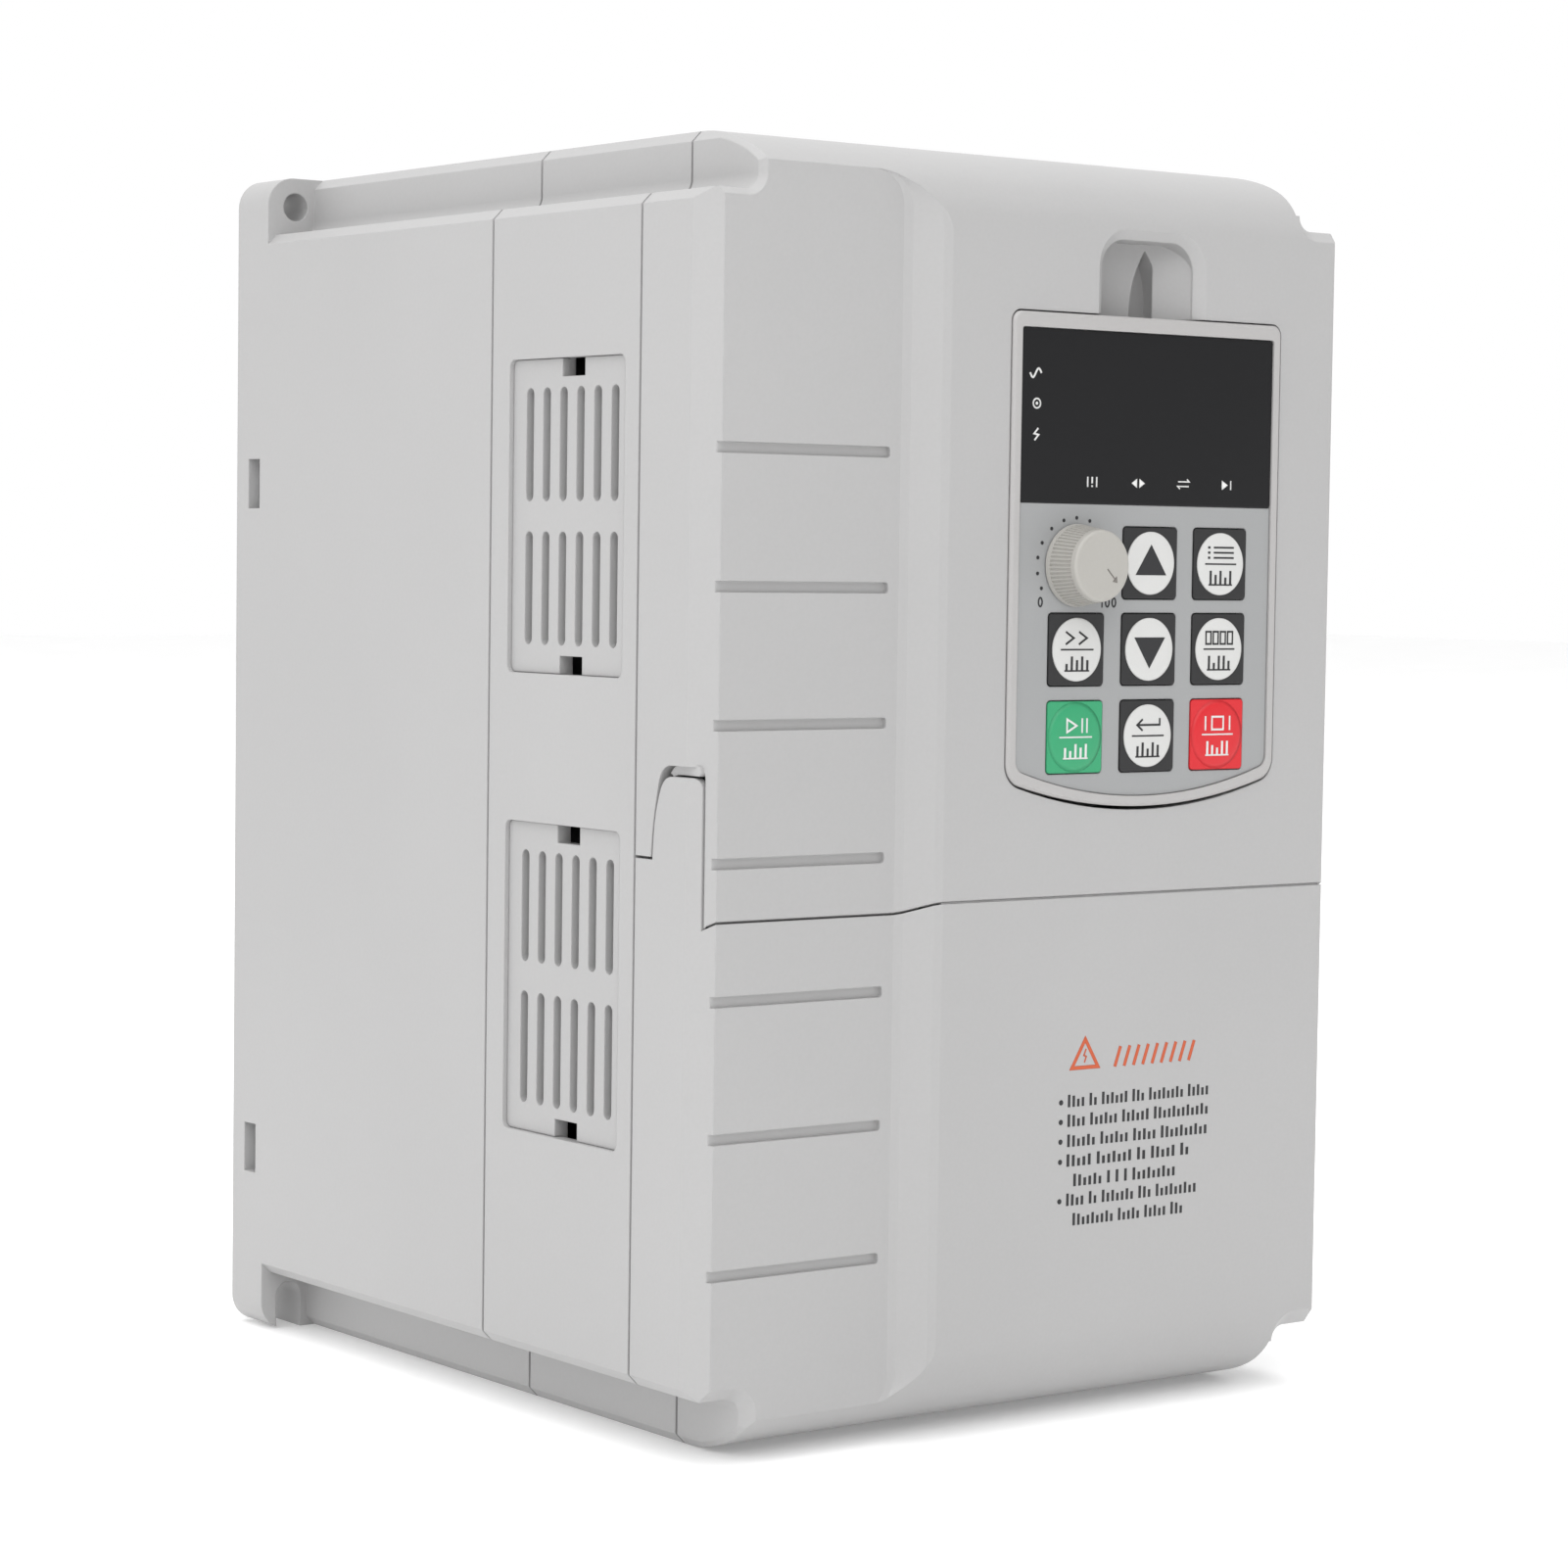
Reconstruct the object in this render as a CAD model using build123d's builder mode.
from build123d import *
import os
from math import cos, radians, sin

os.makedirs("parts", exist_ok=True)

# Casing, millimetres. X is the width, the operator stands at -Y, Z is up.
WIDTH = 153.0
HEIGHT = 244.0
WALL = 2.6
NOTCH_WIDE = 11.0
NOTCH_TOP_Z = 232.0
NOTCH_LOW_Z = 12.4
EDGE = 2.0

# Depth positions of the three casing layers
BACK_Y = 92.3
FLANGE_Y = 79.6
REAR_SEAM_Y = -8.1
FRONT_SEAM_Y = -58.4
SIDE_END_Y = -74.4
STRIP_Y = -80.3
PANEL_Y = -84.4
SEAM_GAP = 0.6
SPLIT_GAP = 0.5
FIT = 0.3

# Wall mounting: round holes at the top, open slots at the bottom
MOUNT_X = 70.0
MOUNT_TOP_Z = 238.0
MOUNT_LOW_Z = 7.0
MOUNT_R = 2.9

# Recessed strip with grooves at the left of the front
STRIP_LEFT_X = -73.6
STRIP_RIGHT_X = -32.0
PANEL_LEFT_X = -25.4
PANEL_RIGHT_X = 73.4
STRIP_HIGH = 230.8
GROOVE_TOP_Z = 186.6
GROOVE_PITCH = 25.0
GROOVE_HIGH = 2.0
GROOVE_DEEP = 1.0
GROOVE_RIGHT_X = -35.4
GROOVES = 7

# Joint between the upper cover and the terminal cover
SPLIT_PANEL_Z = 101.8
SPLIT_STRIP_Z = 99.8
EAR_TOP_Z = 126.0
EAR_FRONT_Y = -77.5
EAR_REAR_Y = -64.1
TONGUE_Z = 110.5

# Side louvres
LOUVRE_Y = -34.0
LOUVRE_LONG = 38.8
LOUVRE_HIGH = 59.4
LOUVRE_Z = (85.1, 173.1)
SLOT_WIDE = 2.5
SLOT_HIGH = 21.5
SLOT_PITCH = 5.75

# Keypad
KEYPAD_X = 24.4
KEYPAD_WIDE = 68.6
KEYPAD_TOP_Z = 212.8
KEYPAD_SIDE_Z = 124.4
KEYPAD_LOW_Z = 118.9
KEYPAD_FRONT_Y = -85.0
KEYPAD_BACK_Y = -73.0
OVERLAY_Y = -84.6
RIM = 2.0
RIM_DROP = 0.9
WINDOW_WIDE = 64.4
WINDOW_HIGH = 33.0
WINDOW_Z = 193.4
KEY = 13.7
KEY_X = (6.8, 25.2, 43.4)
KEY_Z = (165.8, 149.2, 132.5)
KEY_TRAVEL = 0.6
KNOB_X = 6.6
KNOB_Z = 165.2
KNOB_FRONT_Y = -92.3

# Cooling
SINK_FRONT_Y = 20.0
SINK_BASE = 8.0
SINK_BACK_Y = 88.0
SINK_LOW_Z = 24.0
SINK_TOP_Z = 206.0
FAN = 60.0
FAN_DEEP = 25.0
FAN_X = 31.0
FAN_Y = 58.0
FAN_LOW_Z = 208.0

# Boards
BOARD = 1.6
POWER_BOARD_Y = 7.8
CONTROL_BOARD_Y = -49.0
TRAY_Y = -41.0


def front_of(y):
    """Plane facing the operator at depth y; its X is the width and its Y is the height."""
    return Plane.XZ.offset(-y)


def casing_section(inset, edge):
    """Casing outline moved in by inset: a rectangle with a notch along each long edge."""
    side = WIDTH / 2 - inset
    wall = WIDTH / 2 - NOTCH_WIDE - inset
    top = HEIGHT - inset
    shelf = NOTCH_TOP_Z - inset
    low_shelf = NOTCH_LOW_Z + inset
    right = [
        (wall - edge, top),
        (wall, top - edge),
        (wall, shelf),
        (side - edge, shelf),
        (side, shelf - edge),
        (side, low_shelf + edge),
        (side - edge, low_shelf),
        (wall, low_shelf),
        (wall, inset + edge),
        (wall - edge, inset),
    ]
    left = [(-x, z) for x, z in reversed(right)]
    with BuildSketch() as section:
        with BuildLine():
            Polyline(*right, *left, close=True)
        make_face()
        corners = [
            v
            for v in section.vertices()
            if abs(abs(v.X) - wall) < 0.01 and low_shelf - 0.01 < v.Y < shelf + 0.01
        ]
        fillet(corners, radius=3.0)
    return section.sketch


def nose_section(inset, front):
    """Side view of the front layer: the top and bottom edges roll into the front face."""
    rise = [
        (FRONT_SEAM_Y + 2, HEIGHT - inset),
        (FRONT_SEAM_Y - 0.2, HEIGHT - inset),
        (-68.0 + inset * 0.2, 242.9 - inset),
        (-75.0 + inset * 0.5, 240.8 - inset),
        (-80.3 + inset * 0.8, 237.4 - inset * 0.8),
        (-83.2 + inset, 233.2 - inset * 0.5),
        (front, 226.0),
    ]
    fall = [
        (FRONT_SEAM_Y + 2, inset),
        (FRONT_SEAM_Y - 0.2, inset),
        (-68.0 + inset * 0.2, 1.3 + inset),
        (-75.0 + inset * 0.5, 3.9 + inset),
        (-80.3 + inset * 0.8, 8.2 + inset * 0.8),
        (-83.2 + inset, 12.8 + inset * 0.5),
        (front, 20.0),
    ]
    with BuildSketch() as section:
        with BuildLine():
            Line(rise[0], rise[1])
            Spline(rise[1:], tangents=((-1, 0), (0, -1)))
            Line(rise[-1], fall[-1])
            Spline(fall[1:], tangents=((-1, 0), (0, 1)))
            Line(fall[1], fall[0])
            Line(fall[0], rise[0])
        make_face()
    return section.sketch


def notch_section(side, low, grow):
    """Cross-section of one long notch, made larger by grow; side is -1 at the left and 1 at the right."""
    wall = side * (WIDTH / 2 - NOTCH_WIDE - grow)
    shelf = NOTCH_LOW_Z + grow if low else NOTCH_TOP_Z - grow
    far = -20 if low else HEIGHT + 20
    with BuildSketch() as section:
        with BuildLine():
            Polyline((wall, far), (wall, shelf), (side * 95, shelf), (side * 95, far), close=True)
        make_face()
        corner = [v for v in section.vertices() if abs(v.X - wall) < 0.01 and abs(v.Y - shelf) < 0.01]
        fillet(corner, radius=3.0 + grow)
    return section.sketch


def keypad_section(grow, drop=0, sag=0):
    """Keypad outline with a shallow arc at the bottom; drop lowers its top, sag lowers its arc."""
    left = KEYPAD_X - KEYPAD_WIDE / 2 - grow
    right = KEYPAD_X + KEYPAD_WIDE / 2 + grow
    top = KEYPAD_TOP_Z + grow - drop
    side = KEYPAD_SIDE_Z - grow
    low = KEYPAD_LOW_Z - grow - sag
    with BuildSketch() as section:
        with BuildLine():
            Polyline((left, side), (left, top), (right, top), (right, side))
            ThreePointArc((right, side), (KEYPAD_X, low), (left, side))
        make_face()
        fillet(section.vertices().sort_by(Axis.Y)[-2:], radius=max(0.6, 2.0 + grow))
        fillet(section.vertices().sort_by(Axis.Y)[:2], radius=max(1.0, 4.5 + grow))
    return section.sketch


def lower_section(gap):
    """Side view of the terminal cover's side wall, with its grip ear."""
    slope = (SPLIT_PANEL_Z - SPLIT_STRIP_Z) / (PANEL_Y - STRIP_Y)
    front_z = SPLIT_STRIP_Z + slope * (-90 - STRIP_Y)
    inner_z = SPLIT_STRIP_Z + slope * (EAR_FRONT_Y - STRIP_Y)
    with BuildSketch() as section:
        with BuildLine():
            Polyline(
                (EAR_REAR_Y + gap, TONGUE_Z + gap),
                (FRONT_SEAM_Y + 2, TONGUE_Z + gap),
                (FRONT_SEAM_Y + 2, -5),
                (-90, -5),
                (-90, front_z + gap),
                (EAR_FRONT_Y - gap, inner_z + gap),
                (EAR_FRONT_Y - gap, EAR_TOP_Z + 4 * gap),
                (-70.3 + gap, EAR_TOP_Z + 4 * gap),
            )
            Spline(
                (-70.3 + gap, EAR_TOP_Z + 4 * gap),
                (-66.0 + gap, 122.3 + 2 * gap),
                (EAR_REAR_Y + gap, TONGUE_Z + gap),
                tangents=((1, 0), (0.06, -1)),
            )
        make_face()
        corner = section.vertices().sort_by(Axis.Y)[-2:].sort_by(Axis.X)[0]
        fillet(corner, radius=2.0)
    return section.sketch


def middle_split(gap):
    """Side view of the terminal cover between its side walls: a plain slanted joint."""
    slope = (SPLIT_PANEL_Z - SPLIT_STRIP_Z) / (PANEL_Y - STRIP_Y)
    front_z = SPLIT_STRIP_Z + slope * (-90 - STRIP_Y) + gap
    back_z = SPLIT_STRIP_Z + slope * (FRONT_SEAM_Y + 2 - STRIP_Y) + gap
    with BuildSketch() as section:
        with BuildLine():
            Polyline(
                (-90, -5),
                (-90, front_z),
                (FRONT_SEAM_Y + 2, back_z),
                (FRONT_SEAM_Y + 2, -5),
                close=True,
            )
        make_face()
    return section.sketch


casing_outer = casing_section(0, EDGE)
casing_inner = casing_section(WALL, 1.0)
lip_outer = casing_section(WALL + 0.15, 1.0)
lip_root = casing_section(WALL - 0.2, 1.0)
lip_inner = casing_section(WALL + 1.35, 0.8)
plate_outline = casing_section(WALL + FIT, 1.0)
nose_outer = nose_section(0, PANEL_Y)
nose_inner = nose_section(WALL, PANEL_Y + WALL)

# ---------------------------------------------------------------- rear housing
with BuildPart() as rear_housing:
    with BuildSketch(front_of(BACK_Y)):
        add(casing_outer)
    extrude(amount=BACK_Y - REAR_SEAM_Y - SEAM_GAP / 2)
    with BuildSketch(front_of(BACK_Y)):
        with Locations((0, HEIGHT / 2)):
            RectangleRounded(WIDTH, HEIGHT, 6.0)
    extrude(amount=BACK_Y - FLANGE_Y)
    with BuildSketch(front_of(BACK_Y)):
        add(casing_inner)
    extrude(amount=BACK_Y - REAR_SEAM_Y, mode=Mode.SUBTRACT)
    # frame that the heatsink is screwed to from the front
    with BuildSketch(front_of(SINK_FRONT_Y)):
        add(casing_inner)
        with Locations((0, 122)):
            Rectangle(116, 150, mode=Mode.SUBTRACT)
    extrude(amount=2.6)
    # mounting holes and open slots in the flange
    with BuildSketch(front_of(BACK_Y)):
        with Locations((-MOUNT_X, MOUNT_TOP_Z), (MOUNT_X, MOUNT_TOP_Z)):
            Circle(MOUNT_R)
        with Locations((-MOUNT_X, MOUNT_LOW_Z), (MOUNT_X, MOUNT_LOW_Z)):
            Circle(MOUNT_R)
        with Locations((-MOUNT_X, MOUNT_LOW_Z / 2), (MOUNT_X, MOUNT_LOW_Z / 2)):
            Rectangle(2 * MOUNT_R, MOUNT_LOW_Z)
    extrude(amount=BACK_Y - FLANGE_Y, mode=Mode.SUBTRACT)
    # clip slots in the side walls
    with BuildSketch(Plane.YZ.offset(-WIDTH / 2 - 1)):
        with Locations((85.0, 179.9), (85.0, 38.6)):
            Rectangle(4.7, 10.4)
    extrude(amount=WIDTH + 2, mode=Mode.SUBTRACT)
    # fan opening in the roof and intake slots in the floor
    with BuildSketch(Plane.XY.offset(HEIGHT - WALL - 1)):
        with Locations((0, FAN_Y)):
            Rectangle(2 * FAN_X + FAN + 2 * FIT, FAN + 2 * FIT)
    extrude(amount=WALL + 2, mode=Mode.SUBTRACT)
    with BuildSketch(Plane.XY.offset(-1)):
        with Locations((0, FAN_Y)):
            with GridLocations(7.0, 1, 17, 1):
                SlotOverall(44, 3.2, rotation=90)
    extrude(amount=WALL + 2, mode=Mode.SUBTRACT)
rear_housing.part.label = "rear_housing"
export_step(rear_housing.part, "parts/rear_housing.step")

# ---------------------------------------------------------------- middle housing
with BuildPart() as middle_housing:
    with BuildSketch(front_of(REAR_SEAM_Y - SEAM_GAP / 2)):
        add(casing_outer)
        add(casing_inner, mode=Mode.SUBTRACT)
    extrude(amount=REAR_SEAM_Y - FRONT_SEAM_Y - SEAM_GAP)
    # locating lips at both ends
    with BuildSketch(front_of(REAR_SEAM_Y - SEAM_GAP / 2)):
        add(lip_root)
        add(lip_inner, mode=Mode.SUBTRACT)
    extrude(amount=2)
    with BuildSketch(front_of(REAR_SEAM_Y + 3)):
        add(lip_outer)
        add(lip_inner, mode=Mode.SUBTRACT)
    extrude(amount=3 + SEAM_GAP)
    with BuildSketch(front_of(FRONT_SEAM_Y + 2.2)):
        add(lip_root)
        add(lip_inner, mode=Mode.SUBTRACT)
    extrude(amount=2)
    with BuildSketch(front_of(FRONT_SEAM_Y + 1)):
        add(lip_outer)
        add(lip_inner, mode=Mode.SUBTRACT)
    extrude(amount=4)
    # louvre openings in both side walls
    with BuildSketch(Plane.YZ.offset(-WIDTH / 2 - 1)):
        with Locations((LOUVRE_Y, LOUVRE_Z[0]), (LOUVRE_Y, LOUVRE_Z[1])):
            RectangleRounded(LOUVRE_LONG + 0.2, LOUVRE_HIGH + 0.2, 1.5)
    extrude(amount=WIDTH + 2, mode=Mode.SUBTRACT)
    # opening for the cable entry plate in the floor
    with BuildSketch(Plane.XY.offset(-1)):
        with Locations((0, -33.5)):
            RectangleRounded(104, 36, 2)
    extrude(amount=WALL + 2, mode=Mode.SUBTRACT)
middle_housing.part.label = "middle_housing"
export_step(middle_housing.part, "parts/middle_housing.step")

# ---------------------------------------------------------------- front layer, still in one piece
with BuildPart() as front_cavity:
    with BuildSketch(front_of(FRONT_SEAM_Y + 1)):
        add(casing_inner)
    extrude(amount=FRONT_SEAM_Y + 1 - PANEL_Y)
    with BuildSketch(Plane.YZ.offset(-WIDTH / 2)):
        add(nose_inner)
    extrude(amount=WIDTH, mode=Mode.INTERSECT)
    with BuildSketch(front_of(STRIP_Y + WALL)):
        with Locations((-58, HEIGHT / 2)):
            Rectangle(60, HEIGHT + 10)
    extrude(amount=10, mode=Mode.SUBTRACT)
    with BuildSketch():
        with BuildLine():
            Polyline(
                (WIDTH / 2 - WALL, SIDE_END_Y + 0.8),
                (PANEL_RIGHT_X - WALL, PANEL_Y),
                (PANEL_RIGHT_X - WALL, PANEL_Y - 5),
                (WIDTH / 2 + 5, PANEL_Y - 5),
                (WIDTH / 2 + 5, SIDE_END_Y + 0.8),
                close=True,
            )
        make_face()
    extrude(amount=HEIGHT, mode=Mode.SUBTRACT)

# bevel where the rolled top and bottom edges meet the notch walls
NOSE_BEVEL = 1.0
RIDGE_X = WIDTH / 2 - NOTCH_WIDE
with BuildPart() as nose_band:
    with BuildSketch(Plane.YZ.offset(NOSE_BEVEL - RIDGE_X)):
        add(nose_outer)
    extrude(amount=2 * (RIDGE_X - NOSE_BEVEL))
    for side in (-1, 1):
        with BuildSketch(Plane.YZ.offset(side * (RIDGE_X - NOSE_BEVEL))):
            add(nose_outer)
        with BuildSketch(Plane.YZ.offset(side * RIDGE_X)):
            add(nose_section(NOSE_BEVEL, PANEL_Y + NOSE_BEVEL))
        loft(ruled=True)
    with BuildSketch(Plane.XY.offset(NOTCH_LOW_Z - 3)):
        with Locations((0, (FRONT_SEAM_Y + PANEL_Y) / 2)):
            Rectangle(WIDTH + 4, 40)
    extrude(amount=NOTCH_TOP_Z - NOTCH_LOW_Z + 6)

# flared front ends of the four notches
with BuildPart() as notch_flares:
    for side, front, top_bevel, low_bevel in ((-1, STRIP_Y, 1.3, 2.3), (1, PANEL_Y, 2.3, 3.6)):
        for low, bevel in ((False, top_bevel), (True, low_bevel)):
            with BuildSketch(front_of(front + bevel)):
                add(notch_section(side, low, 0))
            with BuildSketch(front_of(front - bevel)):
                add(notch_section(side, low, 2 * bevel))
            loft(ruled=True)

with BuildPart() as front_layer:
    with BuildSketch(front_of(FRONT_SEAM_Y - SEAM_GAP / 2)):
        add(casing_outer)
    extrude(amount=FRONT_SEAM_Y - SEAM_GAP / 2 - PANEL_Y)
    with BuildSketch(Plane.YZ.offset(-WIDTH / 2 - 1)):
        add(nose_outer)
    extrude(amount=WIDTH + 2, mode=Mode.INTERSECT)
    add(nose_band.part, mode=Mode.INTERSECT)
    # plan view: a facet at each side
    with BuildSketch(Plane.XY.offset(-1)) as plan:
        with BuildLine():
            Polyline(
                (-WIDTH / 2, FRONT_SEAM_Y + 2),
                (-WIDTH / 2, SIDE_END_Y),
                (STRIP_LEFT_X, STRIP_Y),
                (STRIP_LEFT_X, PANEL_Y - 1),
                (PANEL_RIGHT_X, PANEL_Y),
                (WIDTH / 2, SIDE_END_Y),
                (WIDTH / 2, FRONT_SEAM_Y + 2),
                close=True,
            )
        make_face()
        fillet(plan.vertices().sort_by(Axis.Y)[:2].sort_by(Axis.X)[-1], radius=0.8)
    extrude(amount=HEIGHT + 2, mode=Mode.INTERSECT)
    # strip at the left, with a sloping shoulder up to the panel, softened at both ends
    shoulder = (
        (STRIP_Y, STRIP_RIGHT_X - 1.0, 6.5),
        (STRIP_Y - 0.5, STRIP_RIGHT_X + 0.8, 7.5),
        (PANEL_Y + 0.5, PANEL_LEFT_X - 0.8, 10.5),
        (PANEL_Y, PANEL_LEFT_X + 0.9, 11.5),
    )
    for depth, right, corner in shoulder:
        with BuildSketch(front_of(depth)):
            with Locations(((right - 120) / 2, HEIGHT / 2)):
                RectangleRounded(120 + right, STRIP_HIGH, corner)
    loft(ruled=True, mode=Mode.SUBTRACT)
    with BuildSketch(front_of(STRIP_Y + GROOVE_DEEP)):
        for groove in range(GROOVES):
            middle = GROOVE_TOP_Z - GROOVE_HIGH / 2 - groove * GROOVE_PITCH
            with Locations(((GROOVE_RIGHT_X - 90) / 2, middle)):
                RectangleRounded(90 + GROOVE_RIGHT_X, GROOVE_HIGH, 0.6)
    extrude(amount=4, mode=Mode.SUBTRACT)
    add(notch_flares.part, mode=Mode.SUBTRACT)
    add(front_cavity.part, mode=Mode.SUBTRACT)

# ---------------------------------------------------------------- split of the front layer
with BuildPart() as lower_zone:
    with BuildSketch(Plane.YZ.offset(-WIDTH / 2 - 1)):
        add(lower_section(SPLIT_GAP))
    extrude(amount=3.9 + 0.2)
    with BuildSketch(Plane.YZ.offset(WIDTH / 2 - 3.1)):
        add(lower_section(SPLIT_GAP))
    extrude(amount=4.1)
    with BuildSketch(Plane.YZ.offset(-WIDTH / 2 + 2)):
        add(middle_split(SPLIT_GAP))
    extrude(amount=WIDTH - 4)

with BuildPart() as terminal_zone:
    with BuildSketch(Plane.YZ.offset(-WIDTH / 2 - 1)):
        add(lower_section(0))
    extrude(amount=3.9)
    with BuildSketch(Plane.YZ.offset(WIDTH / 2 - 2.9)):
        add(lower_section(0))
    extrude(amount=3.9)
    with BuildSketch(Plane.YZ.offset(-WIDTH / 2 + 2)):
        add(middle_split(0))
    extrude(amount=WIDTH - 4)

with BuildPart() as terminal_cover:
    add(front_layer.part)
    add(terminal_zone.part, mode=Mode.INTERSECT)
terminal_cover.part.label = "terminal_cover"
export_step(terminal_cover.part, "parts/terminal_cover.step")

# finger scoop above the keypad, with a bevelled rim and a slot for a screwdriver
SCOOP_X = 25.0
SCOOP_TOP_Z = 227.6
SLOT_X = 29.9
with BuildPart() as scoop:
    with BuildSketch(front_of(PANEL_Y + 9.5)):
        with Locations((SCOOP_X, SCOOP_TOP_Z - 10)):
            RectangleRounded(23.4, 20.0, 5.5)
    extrude(amount=12)
    with BuildSketch(Plane.XY.offset(200)):
        with Locations((SCOOP_X, PANEL_Y - 4.0)):
            Circle(13.2)
    extrude(amount=40, mode=Mode.INTERSECT)
    with BuildSketch(front_of(PANEL_Y + 1.7)):
        with Locations((SCOOP_X, SCOOP_TOP_Z - 10)):
            RectangleRounded(23.4, 20.0, 5.5)
    with BuildSketch(front_of(PANEL_Y)):
        with Locations((SCOOP_X, SCOOP_TOP_Z - 10)):
            RectangleRounded(27.4, 24.0, 7.5)
    loft(ruled=True)
    with BuildSketch(front_of(PANEL_Y + 11.6)):
        with BuildLine():
            Polyline((SLOT_X + 2.8, 211.5), (SLOT_X - 3.0, 211.5), (SLOT_X - 3.0, 214.0))
            Spline((SLOT_X - 3.0, 214.0), (SLOT_X - 2.4, 219.5), (SLOT_X + 0.1, 226.4))
            Spline((SLOT_X + 0.1, 226.4), (SLOT_X + 2.2, 221.5), (SLOT_X + 2.8, 215.0))
            Line((SLOT_X + 2.8, 215.0), (SLOT_X + 2.8, 211.5))
        make_face()
    extrude(amount=4)

with BuildPart() as upper_cover:
    add(front_layer.part)
    add(lower_zone.part, mode=Mode.SUBTRACT)
    # wall behind the keypad well and behind the finger scoop
    with BuildSketch(front_of(KEYPAD_BACK_Y + 3.0)):
        add(keypad_section(2.2))
        with Locations((SCOOP_X, SCOOP_TOP_Z - 9)):
            Rectangle(29.4, 22.4)
    extrude(amount=KEYPAD_BACK_Y + 3.0 - PANEL_Y - 1.0)
    with BuildSketch(front_of(KEYPAD_BACK_Y + 0.8)):
        add(keypad_section(FIT, 0, 0.4))
    extrude(amount=20, mode=Mode.SUBTRACT)
    add(scoop.part, mode=Mode.SUBTRACT)
    # opening for the keypad plug
    with BuildSketch(front_of(KEYPAD_BACK_Y + 5)):
        with Locations((KEYPAD_X, 150)):
            Rectangle(26, 9)
    extrude(amount=6, mode=Mode.SUBTRACT)
upper_cover.part.label = "upper_cover"
export_step(upper_cover.part, "parts/upper_cover.step")


# ---------------------------------------------------------------- side louvres
def louvre(side, middle_z):
    """Snap-in vent panel; side is -1 at the left and 1 at the right."""
    plane = Plane.YZ.offset(side * (WIDTH / 2 - 2.4))
    inner = Plane.YZ.offset(side * (WIDTH / 2 - WALL - 0.1))
    with BuildPart() as panel:
        with BuildSketch(plane):
            with Locations((LOUVRE_Y, middle_z)):
                RectangleRounded(LOUVRE_LONG, LOUVRE_HIGH, 1.4)
        extrude(amount=side * 1.5)
        with BuildSketch(inner):
            with Locations((LOUVRE_Y, middle_z)):
                RectangleRounded(LOUVRE_LONG + 3.2, LOUVRE_HIGH + 3.2, 2.0)
        extrude(amount=side * -1.2)
        with BuildSketch(inner):
            with Locations((LOUVRE_Y, middle_z)):
                RectangleRounded(LOUVRE_LONG, LOUVRE_HIGH, 1.4)
        extrude(amount=side * 0.4)
        with BuildSketch(Plane.YZ.offset(side * (WIDTH / 2 - 5))):
            with Locations((LOUVRE_Y - 0.8, middle_z)):
                with GridLocations(SLOT_PITCH, 27.2, 6, 2):
                    SlotOverall(SLOT_HIGH, SLOT_WIDE, rotation=90)
            with Locations((LOUVRE_Y - 1.2, middle_z)):
                with GridLocations(1, LOUVRE_HIGH, 1, 2):
                    Rectangle(7.6, 6.8)
        extrude(amount=side * 6, mode=Mode.SUBTRACT)
    return panel.part


louvres = {
    "louvre_left_low": louvre(-1, LOUVRE_Z[0]),
    "louvre_left_high": louvre(-1, LOUVRE_Z[1]),
    "louvre_right_low": louvre(1, LOUVRE_Z[0]),
    "louvre_right_high": louvre(1, LOUVRE_Z[1]),
}
for name, panel in louvres.items():
    panel.label = name
    export_step(panel, f"parts/{name}.step")

# ---------------------------------------------------------------- heatsink and back plate
FINS = 17
FIN_PITCH = 7.8
with BuildPart() as heatsink:
    with BuildSketch(Plane.XY.offset(SINK_LOW_Z)):
        with Locations((0, SINK_FRONT_Y + SINK_BASE / 2)):
            Rectangle(132, SINK_BASE)
        with Locations((0, (SINK_FRONT_Y + SINK_BACK_Y) / 2)):
            with GridLocations(FIN_PITCH, 1, FINS, 1):
                Rectangle(2.0, SINK_BACK_Y - SINK_FRONT_Y)
    extrude(amount=SINK_TOP_Z - SINK_LOW_Z)
    with BuildSketch(front_of(SINK_FRONT_Y + 6)):
        with Locations((0, 122)):
            with GridLocations(124, 140, 2, 3):
                Circle(1.5)
    extrude(amount=6, mode=Mode.SUBTRACT)
heatsink.part.label = "heatsink"
export_step(heatsink.part, "parts/heatsink.step")

with BuildPart() as back_plate:
    with BuildSketch(front_of(BACK_Y)):
        add(plate_outline)
    extrude(amount=1.5)
    with BuildSketch(front_of(BACK_Y - 1.5)):
        with Locations((-72.9, 109), (72.9, 109)):
            Rectangle(1.2, 170)
    extrude(amount=12)
back_plate.part.label = "back_plate"
export_step(back_plate.part, "parts/back_plate.step")

# ---------------------------------------------------------------- fans
with BuildPart() as fan_cover:
    with BuildSketch(Plane.XY.offset(HEIGHT - WALL)):
        with Locations((0, FAN_Y)):
            RectangleRounded(2 * FAN_X + FAN, FAN, 1.0)
    extrude(amount=WALL)
    with BuildSketch(Plane.XY.offset(FAN_LOW_Z + FAN_DEEP)):
        with Locations((-FAN_X, FAN_Y), (FAN_X, FAN_Y)):
            with GridLocations(FAN - 7, FAN - 7, 2, 2):
                Circle(2.8)
    extrude(until=Until.NEXT)
    with BuildSketch(Plane.XY.offset(HEIGHT - WALL)):
        with Locations((-FAN_X, FAN_Y), (FAN_X, FAN_Y)):
            for radius in (24.4, 19.6, 14.8, 10.0):
                Circle(radius + 3.4)
                Circle(radius, mode=Mode.SUBTRACT)
        with Locations((-FAN_X, FAN_Y), (FAN_X, FAN_Y)):
            Rectangle(2.6, 58, rotation=45, mode=Mode.SUBTRACT)
            Rectangle(2.6, 58, rotation=-45, mode=Mode.SUBTRACT)
    extrude(amount=WALL, mode=Mode.SUBTRACT)
fan_cover.part.label = "fan_cover"
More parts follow.
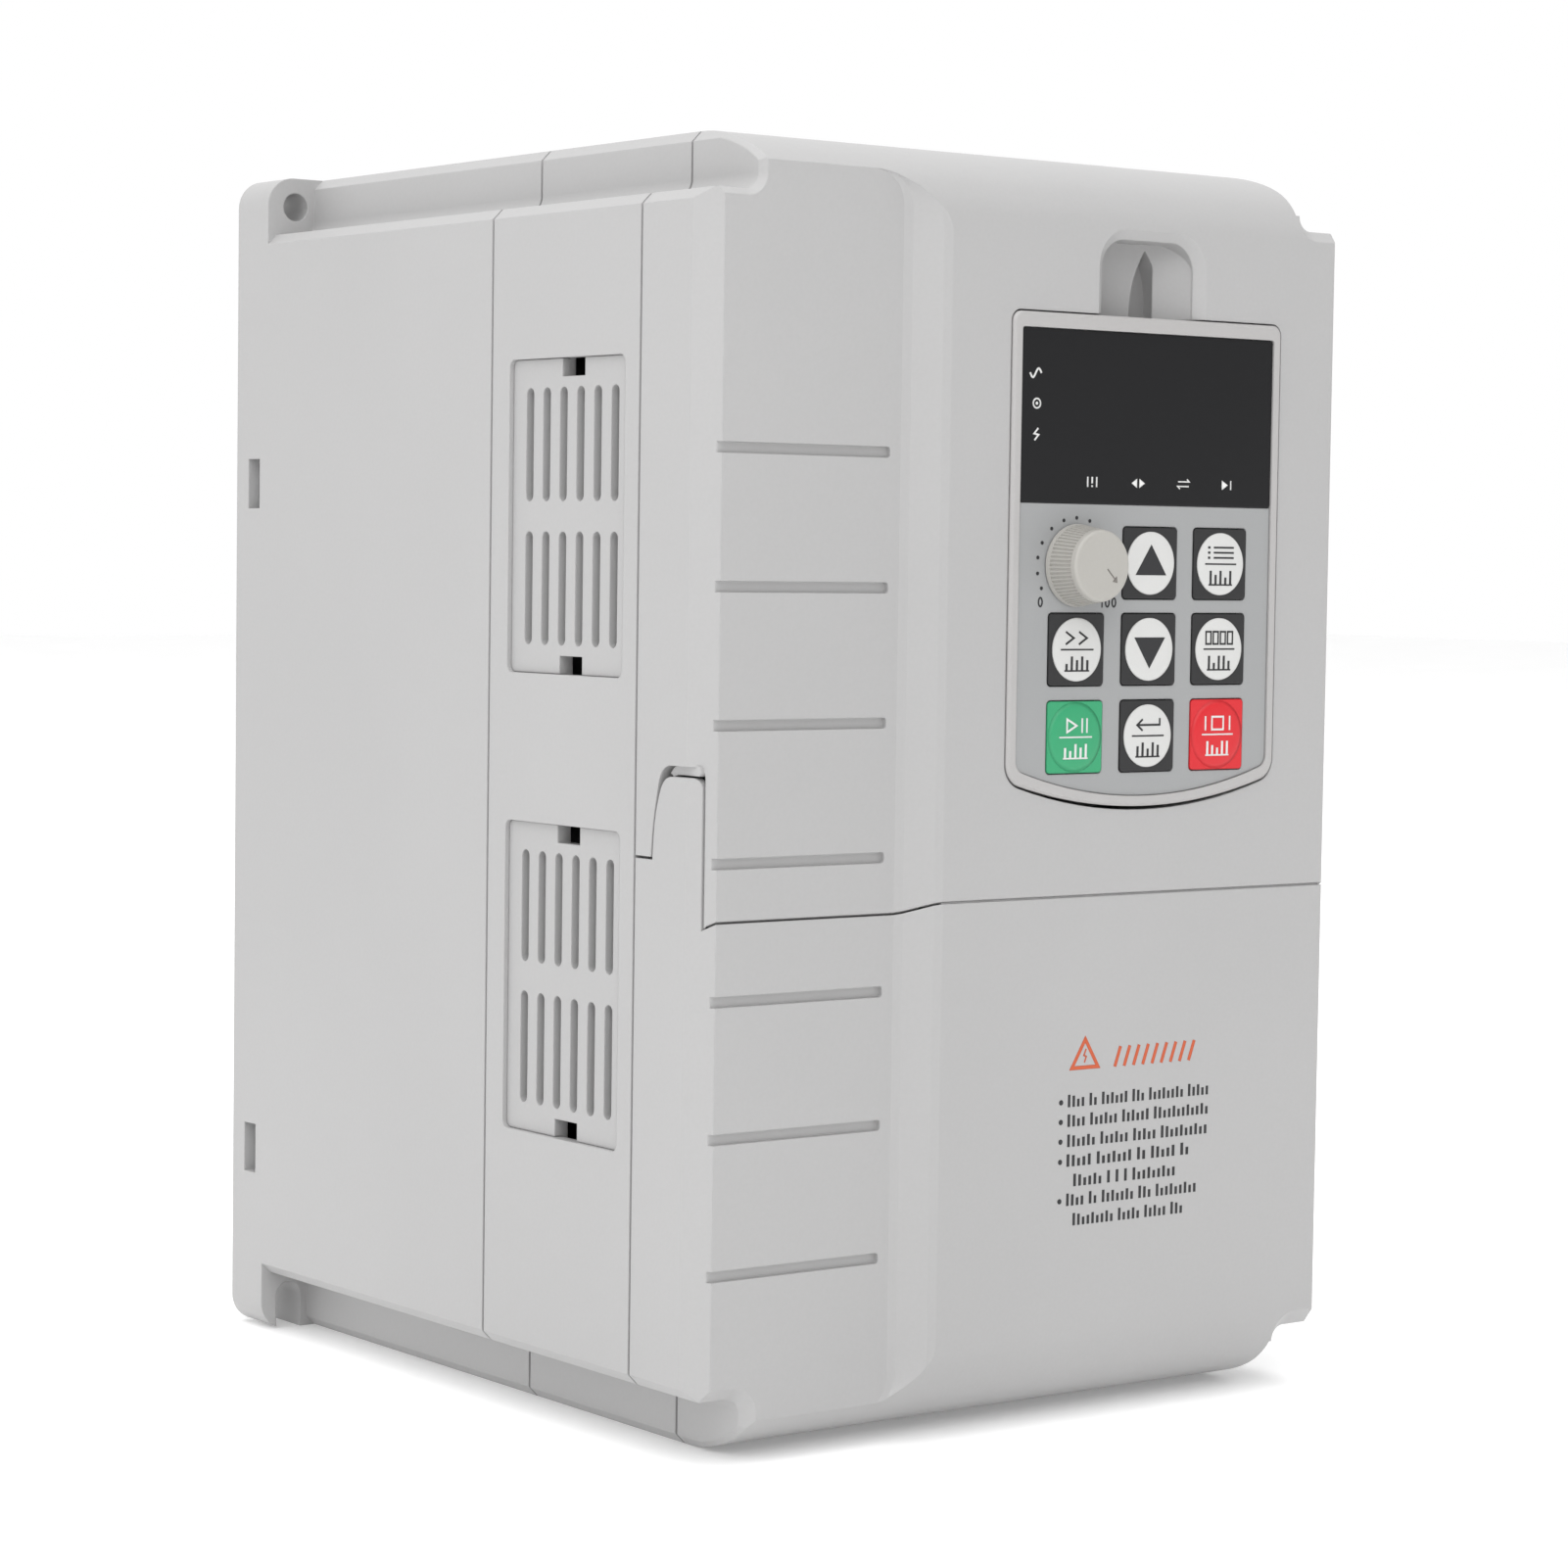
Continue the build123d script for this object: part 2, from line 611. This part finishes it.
export_step(fan_cover.part, "parts/fan_cover.step")


def fan_frame(x):
    """Square fan housing with a round duct, a motor seat on four struts and corner holes."""
    with BuildPart() as frame:
        with BuildSketch(Plane.XY.offset(FAN_LOW_Z)):
            with Locations((x, FAN_Y)):
                RectangleRounded(FAN, FAN, 3.0)
                Circle(28.6, mode=Mode.SUBTRACT)
                with GridLocations(50, 50, 2, 2):
                    Circle(2.2, mode=Mode.SUBTRACT)
        extrude(amount=FAN_DEEP)
        with BuildSketch(Plane.XY.offset(FAN_LOW_Z)):
            with Locations((x, FAN_Y)):
                Circle(13.0)
                Rectangle(2.6, 58, rotation=20)
                Rectangle(2.6, 58, rotation=110)
                Circle(1.54, mode=Mode.SUBTRACT)
        extrude(amount=3.0)
    return frame.part


def fan_rotor(x):
    """Hub with its shaft and seven slanted blades."""
    with BuildPart() as rotor:
        with BuildSketch(Plane.XY.offset(FAN_LOW_Z + 4)):
            with Locations((x, FAN_Y)):
                Circle(12.5)
        extrude(amount=18.5)
        with BuildSketch(Plane.XY.offset(FAN_LOW_Z + 0.6)):
            with Locations((x, FAN_Y)):
                Circle(1.5)
        extrude(amount=5)
        for turn in range(7):
            angle = turn * 360 / 7
            root = Plane(
                origin=(x + 11 * cos(radians(angle)), FAN_Y + 11 * sin(radians(angle)), FAN_LOW_Z + 13.2),
                x_dir=(-sin(radians(angle)), cos(radians(angle)), 0),
                z_dir=(cos(radians(angle)), sin(radians(angle)), 0),
            )
            with BuildSketch(root):
                Rectangle(1.4, 19, rotation=38)
            extrude(amount=16.4)
    return rotor.part


fans = {
    "fan_frame_left": fan_frame(-FAN_X),
    "fan_frame_right": fan_frame(FAN_X),
    "fan_rotor_left": fan_rotor(-FAN_X),
    "fan_rotor_right": fan_rotor(FAN_X),
}
for name, piece in fans.items():
    piece.label = name
    export_step(piece, f"parts/{name}.step")

# ---------------------------------------------------------------- power electronics
with BuildPart() as power_module:
    with BuildSketch(front_of(SINK_FRONT_Y)):
        with Locations((-14, 130)):
            RectangleRounded(74, 44, 2)
    extrude(amount=3)
    with BuildSketch(front_of(SINK_FRONT_Y - 3)):
        with Locations((-14, 130)):
            RectangleRounded(62, 40, 2)
    extrude(amount=8.2)
power_module.part.label = "power_module"
export_step(power_module.part, "parts/power_module.step")

with BuildPart() as rectifier:
    with BuildSketch(front_of(SINK_FRONT_Y)):
        with Locations((40, 90)):
            RectangleRounded(28, 28, 1.5)
    extrude(amount=10)
rectifier.part.label = "rectifier"
export_step(rectifier.part, "parts/rectifier.step")

STANDOFFS = [(x, z) for x in (-60.5, 60.5) for z in (40, 127, 214)]
with BuildPart() as power_board:
    with BuildSketch(front_of(POWER_BOARD_Y)):
        with Locations((0, 126)):
            RectangleRounded(130, 198, 2)
        with Locations(*STANDOFFS):
            Circle(1.7, mode=Mode.SUBTRACT)
    extrude(amount=BOARD)
power_board.part.label = "power_board"
export_step(power_board.part, "parts/power_board.step")

with BuildPart() as board_standoffs:
    with BuildSketch(front_of(SINK_FRONT_Y - 2.6)):
        with Locations(*STANDOFFS):
            RegularPolygon(3.4, 6)
            Circle(1.5, mode=Mode.SUBTRACT)
    extrude(amount=SINK_FRONT_Y - 2.6 - POWER_BOARD_Y)
board_standoffs.part.label = "board_standoffs"
export_step(board_standoffs.part, "parts/board_standoffs.step")


def screw(x, z, head_y, shank, head_r, shank_r):
    """Pan-head screw driven along +Y; head_y is the depth of the seat under its head."""
    with BuildPart() as fastener:
        with BuildSketch(front_of(head_y)):
            with Locations((x, z)):
                Circle(head_r)
        extrude(amount=head_r * 0.7)
        with BuildSketch(front_of(head_y - head_r * 0.7)):
            with Locations((x, z)):
                Rectangle(head_r * 1.1, head_r * 0.26)
                Rectangle(head_r * 0.26, head_r * 1.1)
        extrude(amount=-head_r * 0.4, mode=Mode.SUBTRACT)
        with BuildSketch(front_of(head_y)):
            with Locations((x, z)):
                Circle(shank_r)
        extrude(amount=-shank)
    return fastener.part


board_screws = Compound(
    label="board_screws",
    children=[screw(x, z, POWER_BOARD_Y - BOARD, 8, 2.9, 1.45) for x, z in STANDOFFS],
)
export_step(board_screws, "parts/board_screws.step")

CAPACITORS = [(-36, 196), (2, 196), (40, 196), (40, 158)]
with BuildPart() as bus_capacitors:
    with BuildSketch(front_of(POWER_BOARD_Y - BOARD)):
        with Locations(*CAPACITORS):
            Circle(15.0)
    extrude(amount=40)
    chamfer(bus_capacitors.edges().group_by(Axis.Y)[0], length=1.2)
bus_capacitors.part.label = "bus_capacitors"
export_step(bus_capacitors.part, "parts/bus_capacitors.step")

with BuildPart() as transformer:
    with BuildSketch(front_of(POWER_BOARD_Y - BOARD)):
        with Locations((-40, 152)):
            Rectangle(26, 24)
    extrude(amount=20)
    with BuildSketch(front_of(POWER_BOARD_Y - BOARD - 3)):
        with Locations((-40, 152)):
            RectangleRounded(33, 17, 2)
    extrude(amount=13)
transformer.part.label = "transformer"
export_step(transformer.part, "parts/transformer.step")

with BuildPart() as charge_relay:
    with BuildSketch(front_of(POWER_BOARD_Y - BOARD)):
        with Locations((0, 150)):
            RectangleRounded(19, 16, 1)
    extrude(amount=16)
charge_relay.part.label = "charge_relay"
export_step(charge_relay.part, "parts/charge_relay.step")

with BuildPart() as current_sensors:
    with BuildSketch(front_of(POWER_BOARD_Y - BOARD)):
        with Locations((-40, 100), (-14, 100), (12, 100)):
            Rectangle(18, 12)
    extrude(amount=17)
    with BuildSketch(Plane.XY.offset(90)):
        with Locations((-40, -2), (-14, -2), (12, -2)):
            Circle(3.5)
    extrude(amount=20, mode=Mode.SUBTRACT)
current_sensors.part.label = "current_sensors"
export_step(current_sensors.part, "parts/current_sensors.step")

# ---------------------------------------------------------------- main terminals
TERMINALS = 9
TERMINAL_PITCH = 11.2
TERMINAL_Z = 50.0
TERMINAL_XS = [TERMINAL_PITCH * (i - (TERMINALS - 1) / 2) for i in range(TERMINALS)]
with BuildPart() as main_terminals:
    with BuildSketch(front_of(POWER_BOARD_Y - BOARD)):
        with Locations((0, TERMINAL_Z)):
            Rectangle(TERMINAL_PITCH * TERMINALS + 1.6, 24)
    extrude(amount=20)
    with BuildSketch(front_of(POWER_BOARD_Y - BOARD - 12)):
        with Locations(*[(x, TERMINAL_Z - 1) for x in TERMINAL_XS]):
            Rectangle(TERMINAL_PITCH - 1.6, 23)
    extrude(amount=10, mode=Mode.SUBTRACT)
    with BuildSketch(front_of(POWER_BOARD_Y - BOARD - 2)):
        with Locations(*[(x, TERMINAL_Z) for x in TERMINAL_XS]):
            Circle(1.6)
    extrude(amount=12, mode=Mode.SUBTRACT)
main_terminals.part.label = "main_terminals"
export_step(main_terminals.part, "parts/main_terminals.step")

with BuildPart() as terminal_clamps:
    with BuildSketch(front_of(POWER_BOARD_Y - BOARD - 12)):
        with Locations(*[(x, TERMINAL_Z) for x in TERMINAL_XS]):
            Rectangle(8.6, 10)
            Circle(1.7, mode=Mode.SUBTRACT)
    extrude(amount=1.2)
terminal_clamps.part.label = "terminal_clamps"
export_step(terminal_clamps.part, "parts/terminal_clamps.step")

terminal_screws = Compound(
    label="terminal_screws",
    children=[screw(x, TERMINAL_Z, POWER_BOARD_Y - BOARD - 13.2, 8, 3.4, 1.55) for x in TERMINAL_XS],
)
export_step(terminal_screws, "parts/terminal_screws.step")

with BuildPart() as earth_bar:
    with BuildSketch(front_of(SINK_FRONT_Y - 2.6)):
        with Locations((0, 25)):
            RectangleRounded(60, 12, 1)
            with Locations((-22, 0), (22, 0)):
                Circle(2.2, mode=Mode.SUBTRACT)
    extrude(amount=2)
earth_bar.part.label = "earth_bar"
export_step(earth_bar.part, "parts/earth_bar.step")

earth_screws = Compound(
    label="earth_screws",
    children=[screw(x, 25, SINK_FRONT_Y - 4.6, 1.8, 4.0, 2.0) for x in (-22, 22)],
)
export_step(earth_screws, "parts/earth_screws.step")

# ---------------------------------------------------------------- cable entry plate and grommets
ENTRY_X = (-34.0, 0.0, 34.0)
ENTRY_Y = -33.5
with BuildPart() as cable_plate:
    with BuildSketch(Plane.XY.offset(WALL)):
        with Locations((0, ENTRY_Y)):
            RectangleRounded(112, 42, 2)
            with Locations(*[(x, 0) for x in ENTRY_X]):
                Circle(12.6, mode=Mode.SUBTRACT)
    extrude(amount=2)
cable_plate.part.label = "cable_plate"
export_step(cable_plate.part, "parts/cable_plate.step")

with BuildPart() as grommets:
    with BuildSketch(Plane.XZ.offset(-ENTRY_Y)) as ring:
        with BuildLine():
            Polyline(
                (9.5, WALL - 2.2),
                (14.5, WALL - 2.2),
                (14.5, WALL),
                (12.5, WALL),
                (12.5, WALL + 2),
                (14.5, WALL + 2),
                (14.5, WALL + 4.2),
                (9.5, WALL + 4.2),
                close=True,
            )
        make_face()
    revolve(axis=Axis((0, ENTRY_Y, 0), (0, 0, 1)))
left_grommet = grommets.part.translate((ENTRY_X[0], 0, 0))
right_grommet = grommets.part.translate((ENTRY_X[2], 0, 0))
cable_grommets = Compound(label="cable_grommets", children=[left_grommet, grommets.part, right_grommet])
export_step(cable_grommets, "parts/cable_grommets.step")

# ---------------------------------------------------------------- control electronics
with BuildPart() as control_tray:
    with BuildSketch(front_of(TRAY_Y)):
        with Locations((0, 151)):
            RectangleRounded(140, 148, 3)
    extrude(amount=2)
    # legs down to the power board standoffs
    with BuildSketch(front_of(TRAY_Y)):
        with Locations((-67, 151), (67, 151)):
            Rectangle(2, 130)
    extrude(amount=-20)
control_tray.part.label = "control_tray"
export_step(control_tray.part, "parts/control_tray.step")

with BuildPart() as control_board:
    with BuildSketch(front_of(CONTROL_BOARD_Y)):
        with Locations((0, 152)):
            RectangleRounded(126, 148, 2)
        with Locations(*[(x, z) for x in (-58, 58) for z in (84, 220)]):
            Circle(1.6, mode=Mode.SUBTRACT)
    extrude(amount=BOARD)
control_board.part.label = "control_board"
export_step(control_board.part, "parts/control_board.step")

with BuildPart() as control_standoffs:
    with BuildSketch(front_of(TRAY_Y - 2)):
        with Locations(*[(x, z) for x in (-58, 58) for z in (84, 220)]):
            Circle(3.0)
            Circle(1.4, mode=Mode.SUBTRACT)
    extrude(amount=TRAY_Y - 2 - CONTROL_BOARD_Y)
control_standoffs.part.label = "control_standoffs"
export_step(control_standoffs.part, "parts/control_standoffs.step")

control_screws = Compound(
    label="control_screws",
    children=[
        screw(x, z, CONTROL_BOARD_Y - BOARD, 6, 2.7, 1.35) for x in (-58, 58) for z in (84, 220)
    ],
)
export_step(control_screws, "parts/control_screws.step")

with BuildPart() as processor:
    with BuildSketch(front_of(CONTROL_BOARD_Y - BOARD)):
        with Locations((-30, 160)):
            Rectangle(20, 20)
    extrude(amount=1.6)
    chamfer(processor.edges().group_by(Axis.Y)[0], length=0.4)
processor.part.label = "processor"
export_step(processor.part, "parts/processor.step")

with BuildPart() as control_terminals:
    with BuildSketch(front_of(CONTROL_BOARD_Y - BOARD)):
        with Locations((0, 90)):
            Rectangle(100, 12)
    extrude(amount=11)
    with BuildSketch(front_of(CONTROL_BOARD_Y - BOARD - 11)):
        with Locations((0, 91)):
            with GridLocations(5, 1, 19, 1):
                Circle(1.7)
    extrude(amount=-5, mode=Mode.SUBTRACT)
    with BuildSketch(Plane.XY.offset(84)):
        with Locations((0, CONTROL_BOARD_Y - BOARD - 5)):
            with GridLocations(5, 1, 19, 1):
                Rectangle(3.0, 3.2)
    extrude(amount=5, mode=Mode.SUBTRACT)
control_terminals.part.label = "control_terminals"
export_step(control_terminals.part, "parts/control_terminals.step")

# ---------------------------------------------------------------- keypad
with BuildPart() as keypad_case:
    with BuildSketch(front_of(KEYPAD_BACK_Y - 1.6)):
        add(keypad_section(0))
    extrude(amount=KEYPAD_BACK_Y - 1.6 - KEYPAD_FRONT_Y)
    # recess for the overlay, inside the rim
    with BuildSketch(front_of(OVERLAY_Y + 0.4)):
        add(keypad_section(-RIM, RIM_DROP))
    extrude(amount=3, mode=Mode.SUBTRACT)
    chamfer(keypad_case.faces().sort_by(Axis.Y)[0].outer_wire().edges(), length=0.5)
    # hollow back
    with BuildSketch(front_of(KEYPAD_BACK_Y)):
        add(keypad_section(-1.4))
    extrude(amount=KEYPAD_BACK_Y - OVERLAY_Y - 2.4, mode=Mode.SUBTRACT)
    with BuildSketch(front_of(KEYPAD_BACK_Y)):
        with Locations((KEYPAD_X, WINDOW_Z)):
            Rectangle(WINDOW_WIDE - 3, WINDOW_HIGH - 3)
        with Locations(*[(x, z) for x in KEY_X for z in KEY_Z if (x, z) != (KEY_X[0], KEY_Z[0])]):
            Rectangle(KEY + 0.4, KEY + 0.4)
        with Locations((KNOB_X, KNOB_Z)):
            Circle(3.6)
    extrude(amount=20, mode=Mode.SUBTRACT)
keypad_case.part.label = "keypad_case"
export_step(keypad_case.part, "parts/keypad_case.step")

with BuildPart() as keypad_overlay:
    with BuildSketch(front_of(OVERLAY_Y + 0.4)):
        add(keypad_section(-RIM - 0.1, RIM_DROP))
        with Locations((KEYPAD_X, WINDOW_Z + 5)):
            Rectangle(WINDOW_WIDE + 4, WINDOW_HIGH + 10.1, mode=Mode.SUBTRACT)
        with Locations(*[(x, z) for x in KEY_X for z in KEY_Z if (x, z) != (KEY_X[0], KEY_Z[0])]):
            RectangleRounded(KEY + 0.4, KEY + 0.4, 0.9, mode=Mode.SUBTRACT)
        with Locations((KNOB_X, KNOB_Z)):
            Circle(3.6, mode=Mode.SUBTRACT)
    extrude(amount=0.4)
keypad_overlay.part.label = "keypad_overlay"
export_step(keypad_overlay.part, "parts/keypad_overlay.step")

with BuildPart() as display_window:
    with BuildSketch(front_of(OVERLAY_Y + 0.4)):
        with Locations((KEYPAD_X, WINDOW_Z - 0.05)):
            RectangleRounded(WINDOW_WIDE, WINDOW_HIGH - 0.1, 0.7)
    extrude(amount=0.4)
    with BuildSketch(front_of(OVERLAY_Y + 0.4)):
        with Locations((KEYPAD_X, WINDOW_Z)):
            Rectangle(WINDOW_WIDE - 3.2, WINDOW_HIGH - 3.2)
    extrude(amount=-1.4)
display_window.part.label = "display_window"
export_step(display_window.part, "parts/display_window.step")

with BuildPart() as display_module:
    with BuildSketch(front_of(-77.4)):
        with Locations((KEYPAD_X, WINDOW_Z)):
            Rectangle(58, 28)
    extrude(amount=4.6)
display_module.part.label = "display_module"
export_step(display_module.part, "parts/display_module.step")

with BuildPart() as keypad_board:
    with BuildSketch(front_of(-75.8)):
        with Locations((KEYPAD_X, 168.5)):
            RectangleRounded(62, 80, 2)
    extrude(amount=BOARD)
keypad_board.part.label = "keypad_board"
export_step(keypad_board.part, "parts/keypad_board.step")

KEY_PLACES = {
    "key_up": (KEY_X[1], KEY_Z[0]),
    "key_program": (KEY_X[2], KEY_Z[0]),
    "key_jog": (KEY_X[0], KEY_Z[1]),
    "key_down": (KEY_X[1], KEY_Z[1]),
    "key_display": (KEY_X[2], KEY_Z[1]),
    "key_run": (KEY_X[0], KEY_Z[2]),
    "key_enter": (KEY_X[1], KEY_Z[2]),
    "key_stop": (KEY_X[2], KEY_Z[2]),
}
with BuildPart() as key_switches:
    with BuildSketch(front_of(-77.4)):
        with Locations(*KEY_PLACES.values()):
            Rectangle(6, 6)
    extrude(amount=1.4)
key_switches.part.label = "key_switches"
export_step(key_switches.part, "parts/key_switches.step")


def key(x, z):
    """Square key cap with a raised round face, a stop flange and a plunger behind it."""
    with BuildPart() as cap:
        with BuildSketch(front_of(OVERLAY_Y + 2.7)):
            with Locations((x, z)):
                RectangleRounded(KEY, KEY, 0.8)
        extrude(amount=2.9)
        with BuildSketch(front_of(OVERLAY_Y + 3.4)):
            with Locations((x, z)):
                Rectangle(KEY + 1.4, KEY - 1.4)
        extrude(amount=0.9)
        with BuildSketch(front_of(OVERLAY_Y + 5.0)):
            with Locations((x, z)):
                Rectangle(4, 4)
        extrude(amount=2)
        with BuildSketch(front_of(OVERLAY_Y - 0.2)):
            with Locations((x, z)):
                Circle(6.0)
        extrude(amount=0.2)
    return cap.part


for name, (x, z) in KEY_PLACES.items():
    cap = key(x, z)
    cap.label = name
    export_step(cap, f"parts/{name}.step")

with BuildPart() as speed_pot:
    with BuildSketch(front_of(-77.4)):
        with Locations((KNOB_X, KNOB_Z)):
            RectangleRounded(11, 11, 0.8)
    extrude(amount=4.2)
    with BuildSketch(front_of(-81.6)):
        with Locations((KNOB_X, KNOB_Z)):
            Circle(3.0)
    extrude(amount=8.4)
speed_pot.part.label = "speed_pot"
export_step(speed_pot.part, "parts/speed_pot.step")

RIBS = 60
KNOB_R = 7.9
KNOB_TAPER = 9.0
with BuildPart() as speed_knob:
    with BuildSketch(front_of(OVERLAY_Y - 0.3)):
        with Locations((KNOB_X, KNOB_Z)):
            Circle(KNOB_R)
    extrude(amount=OVERLAY_Y - 0.3 - KNOB_FRONT_Y, taper=KNOB_TAPER)
    fillet(speed_knob.edges().group_by(Axis.Y)[0], radius=0.7)
    # fine ribs that follow the taper
    for rib in range(RIBS):
        turn = radians(rib * 360 / RIBS)
        lean = radians(KNOB_TAPER)
        root = Plane(
            origin=(KNOB_X + KNOB_R * cos(turn), OVERLAY_Y - 0.3, KNOB_Z + KNOB_R * sin(turn)),
            z_dir=(-cos(turn) * sin(lean), -cos(lean), -sin(turn) * sin(lean)),
        )
        with BuildSketch(root.offset(1.0)):
            Circle(0.24)
        extrude(amount=5.2, mode=Mode.SUBTRACT)
    with BuildSketch(front_of(OVERLAY_Y)):
        with Locations((KNOB_X, KNOB_Z)):
            Circle(3.05)
    extrude(amount=6.2, mode=Mode.SUBTRACT)
speed_knob.part.label = "speed_knob"
export_step(speed_knob.part, "parts/speed_knob.step")

with BuildPart() as keypad_back:
    with BuildSketch(front_of(KEYPAD_BACK_Y)):
        add(keypad_section(0))
        with Locations((KEYPAD_X, 150)):
            Rectangle(21, 6.2, mode=Mode.SUBTRACT)
    extrude(amount=1.6)
keypad_back.part.label = "keypad_back"
export_step(keypad_back.part, "parts/keypad_back.step")

with BuildPart() as keypad_plug:
    with BuildSketch(front_of(-68.0)):
        with Locations((KEYPAD_X, 150)):
            Rectangle(20, 5.4)
    extrude(amount=7.8)
keypad_plug.part.label = "keypad_plug"
export_step(keypad_plug.part, "parts/keypad_plug.step")

with BuildPart() as keypad_socket:
    with BuildSketch(front_of(CONTROL_BOARD_Y - BOARD)):
        with Locations((KEYPAD_X, 150)):
            RectangleRounded(24, 8, 0.6)
    extrude(amount=20.6)
    with BuildSketch(front_of(-67.4)):
        with Locations((KEYPAD_X, 150)):
            Rectangle(20.4, 5.8)
    extrude(amount=6, mode=Mode.SUBTRACT)
keypad_socket.part.label = "keypad_socket"
export_step(keypad_socket.part, "parts/keypad_socket.step")
